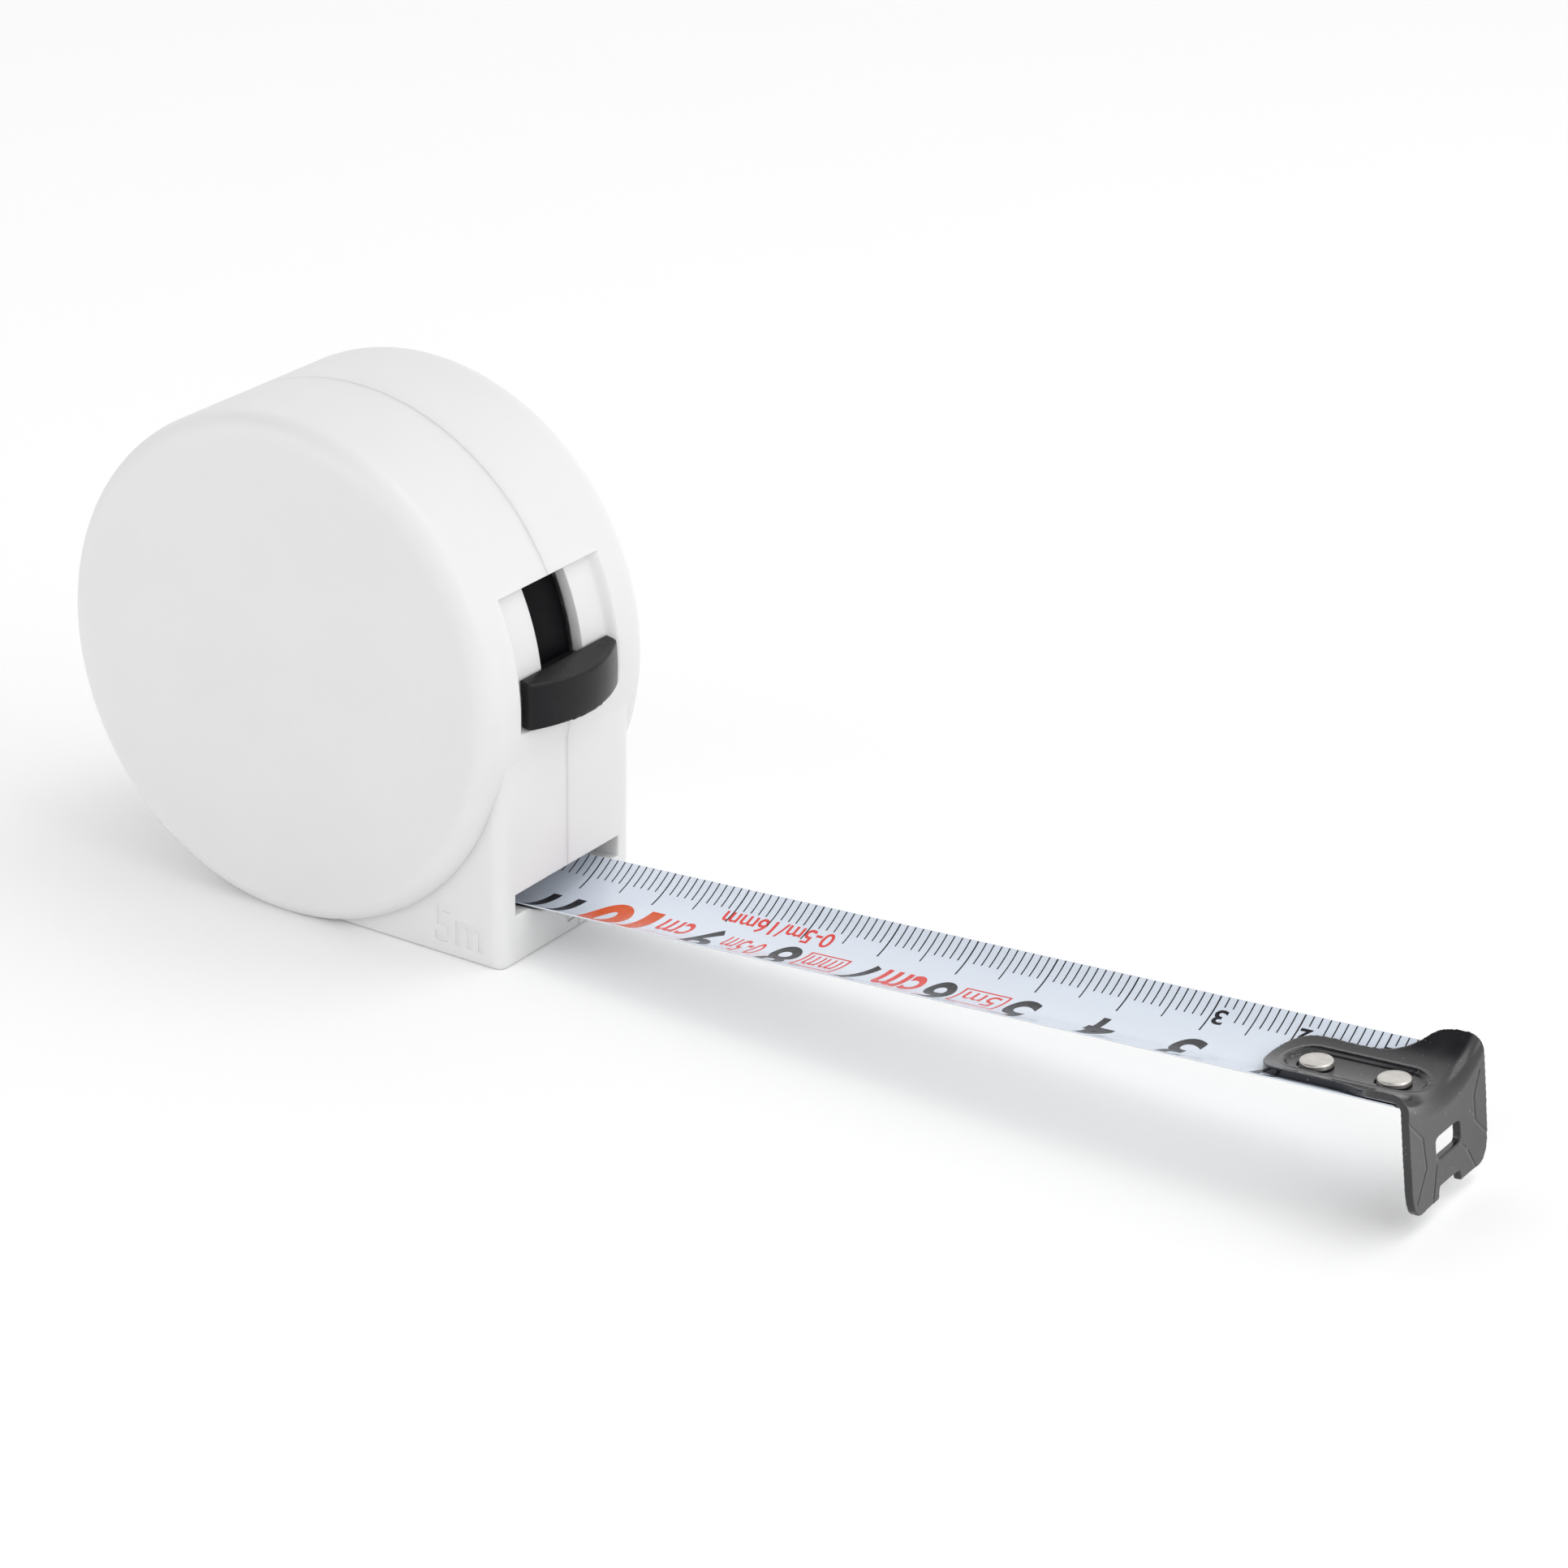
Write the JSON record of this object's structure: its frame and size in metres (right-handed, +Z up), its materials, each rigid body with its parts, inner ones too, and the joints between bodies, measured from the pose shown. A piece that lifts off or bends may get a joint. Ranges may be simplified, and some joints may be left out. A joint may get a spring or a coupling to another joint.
{
  "type": "tape measure",
  "caption": "Pocket tape measure: round white case with a square foot, black thumb lock on the front, curved steel blade locked part-way out and a black riveted end hook.",
  "frame": {"origin": "on the flat base, straight below the drum axis, in the plane where the two case halves meet", "axes": "+X out of the mouth towards the hook, +Y across the case towards the half with the screws, +Z up"},
  "size_m": [0.1702, 0.03, 0.0597],
  "materials": {
    "case_plastic": "satin white moulded plastic",
    "lock_plastic": "satin black moulded plastic",
    "reel_plastic": "natural grey moulded plastic",
    "blade_coating": "glossy off-white printed coating",
    "hook_paint": "glossy black paint",
    "rivet_steel": "plain steel",
    "screw_steel": "zinc plated steel",
    "post_steel": "turned steel",
    "spring_steel": "blued spring strip",
    "pad_rubber": "matte rubber"
  },
  "bodies": {
    "case": {"case_front_half": "case_plastic", "case_back_half": "case_plastic", "case_screw_top": "screw_steel", "case_screw_rear_upper": "screw_steel", "case_screw_rear_lower": "screw_steel", "case_screw_front": "screw_steel", "case_screw_centre": "screw_steel", "centre_post": "post_steel", "tape_inner_run": "blade_coating"},
    "reel": {"reel_drum": "reel_plastic", "reel_cover": "reel_plastic", "tape_coil": "blade_coating", "power_spring": "spring_steel"},
    "blade": {"tape_blade": "blade_coating", "hook_rivet_inner": "rivet_steel", "hook_rivet_outer": "rivet_steel"},
    "hook": {"end_hook": "hook_paint"},
    "lock": {"lock_button": "lock_plastic", "lock_slider": "lock_plastic", "brake_pad": "pad_rubber"}
  },
  "joints": [
    {"name": "blade_pull", "type": "slide", "parent": "case", "child": "blade", "axis": [0.9977, 0, 0.068], "range_m": [-0.107, 0], "deforming": ["tape_blade", "tape_inner_run"]},
    {"name": "hook_play", "type": "slide", "parent": "blade", "child": "hook", "axis": [0.9977, 0, 0.068], "range_m": [0, 0.0009]},
    {"name": "reel_spin", "type": "hinge", "parent": "case", "child": "reel", "pos_m": [0, 0, 0.0297], "axis": [0, 1, 0], "range_deg": [0, 301], "deforming": ["power_spring"]},
    {"name": "lock_slide", "type": "hinge", "parent": "case", "child": "lock", "pos_m": [0, 0, 0.0297], "axis": [0, -1, 0], "range_deg": [0, 17.5]}
  ],
  "couplings": [
    {"joint": "reel_spin", "follows": "blade_pull", "rad_per_m": -49.02}
  ]
}
